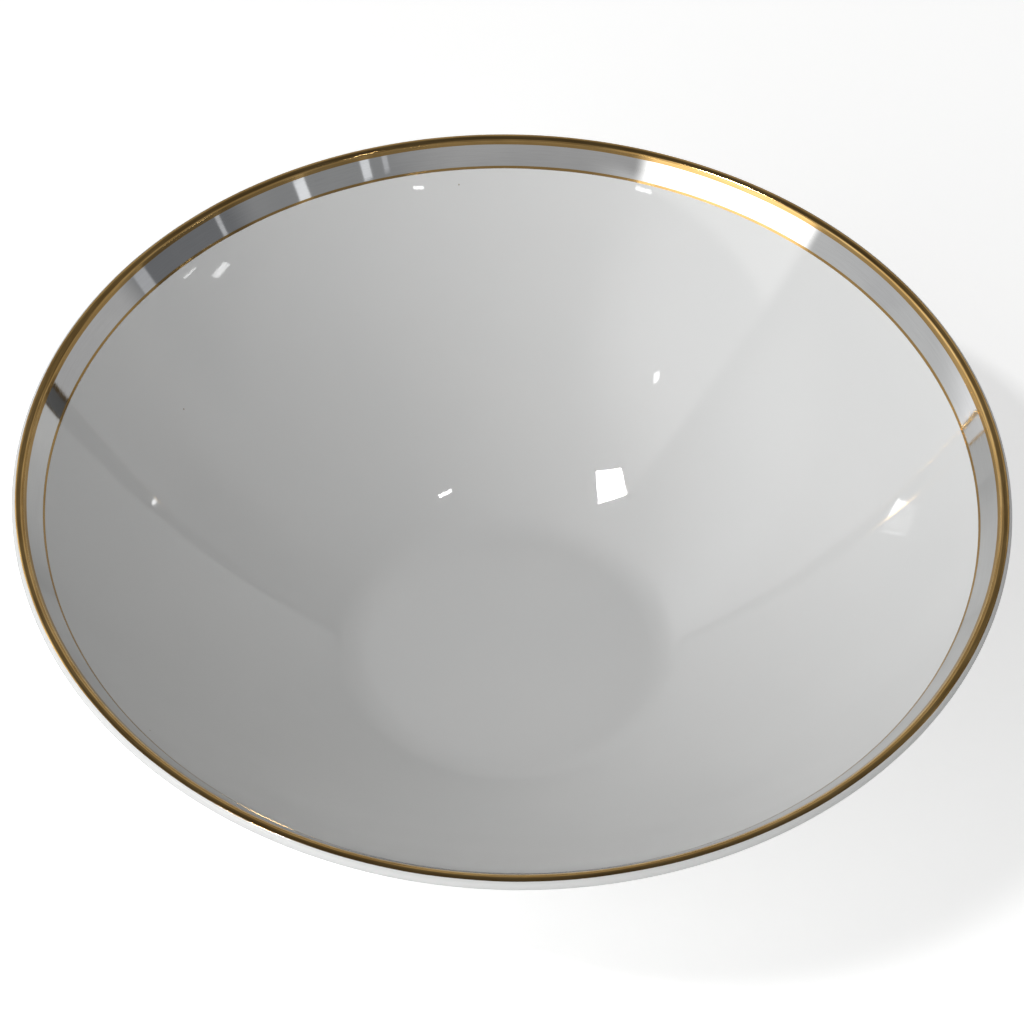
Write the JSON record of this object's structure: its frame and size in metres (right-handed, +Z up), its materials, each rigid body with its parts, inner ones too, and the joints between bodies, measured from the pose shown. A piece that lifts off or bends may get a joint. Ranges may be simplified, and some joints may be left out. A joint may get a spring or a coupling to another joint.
{
  "type": "porcelain serving bowl",
  "caption": "Flared round serving bowl in white glazed porcelain on a foot ring, with a gilded lip, a platinum band inside the rim and a gold hairline below it.",
  "frame": {"origin": "centre of the foot ring, on the surface the bowl stands on", "axes": "+Z up along the bowl's axis of turning; the bowl is the same all round, so +X and +Y are any two level directions"},
  "size_m": [0.24, 0.24, 0.0827],
  "materials": {
    "porcelain": "bare fired porcelain, fine matt",
    "glaze": "high gloss white glaze",
    "gold": "polished gold lustre, burnished",
    "platinum": "mirror platinum lustre"
  },
  "bodies": {
    "root": {"porcelain_body": "porcelain", "glaze_coat": "glaze", "base_glaze": "glaze", "rim_gilding": "gold", "platinum_band": "platinum", "gold_hairline": "gold"}
  },
  "joints": []
}
